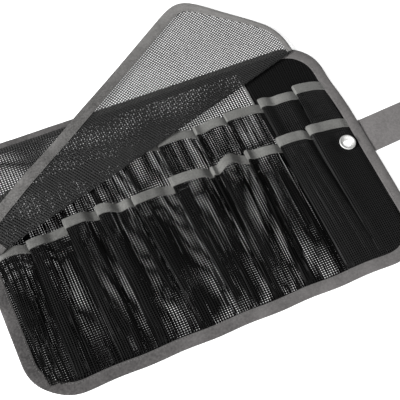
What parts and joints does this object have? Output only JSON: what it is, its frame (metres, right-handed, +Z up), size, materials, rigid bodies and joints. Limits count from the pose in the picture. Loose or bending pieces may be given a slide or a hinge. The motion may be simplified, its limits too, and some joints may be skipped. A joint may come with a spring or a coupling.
{
  "type": "fishing jig wrap",
  "caption": "Roll-up mesh wrap lying open, with rows of pleated mesh pockets for fishing jigs, taped edges, a folded-back mesh flap, an eyelet and a closing strap.",
  "frame": {"origin": "middle of the panel, on its underside, where it lies on the ground", "axes": "+X along the wrap's length towards the closing strap, +Y from the front edge to the back edge with the flap, +Z up"},
  "size_m": [0.6134, 0.4636, 0.0198],
  "materials": {
    "black_net": "fine black coated mesh, half gloss, pale ground shows through one layer",
    "black_cloth": "dense black woven cloth, matte",
    "grey_tape": "ribbed grey binding tape, matte",
    "grey_webbing": "flat woven grey strap, matte",
    "bright_steel": "bright plated eyelet"
  },
  "bodies": {
    "root": {"back_panel": "black_net", "end_panel": "black_cloth", "edge_binding": "grey_tape", "rear_pockets": "black_net", "rear_pocket_binding": "grey_tape", "front_pockets": "black_net", "front_pocket_binding": "grey_tape", "flap": "black_net", "flap_binding": "grey_tape", "closing_strap": "grey_webbing", "grommet": "bright_steel"}
  },
  "joints": []
}
